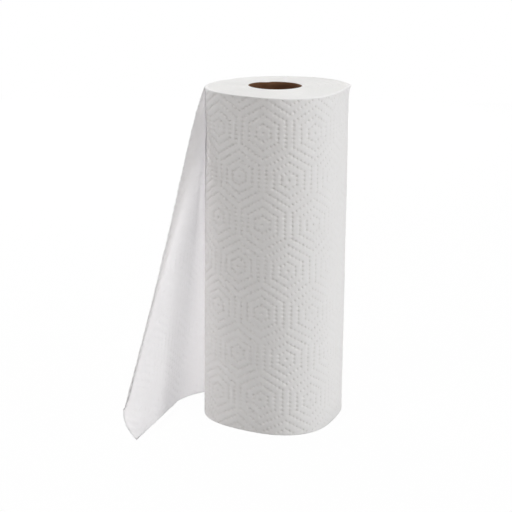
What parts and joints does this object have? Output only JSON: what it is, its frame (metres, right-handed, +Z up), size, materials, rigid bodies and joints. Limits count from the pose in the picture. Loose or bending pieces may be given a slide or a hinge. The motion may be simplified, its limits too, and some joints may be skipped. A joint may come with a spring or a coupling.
{
  "type": "paper towel roll",
  "caption": "Tall roll of embossed paper towel wound on a cardboard core, standing on end, with its outer sheet pulled loose, torn off on a slant and turned outwards along the tear.",
  "frame": {"origin": "Middle of the bounding box in plan, at the level of the lower end that the roll stands on.", "axes": "+Z runs up along the core. +X points to the right and +Y away from a viewer who faces the loose sheet's free edge on the left."},
  "size_m": [0.1804, 0.1338, 0.279],
  "materials": {
    "paper": "soft matte embossed tissue",
    "cardboard": "matte kraft"
  },
  "bodies": {
    "root": {"core_tube": "cardboard", "towel_paper": "paper"}
  },
  "joints": []
}
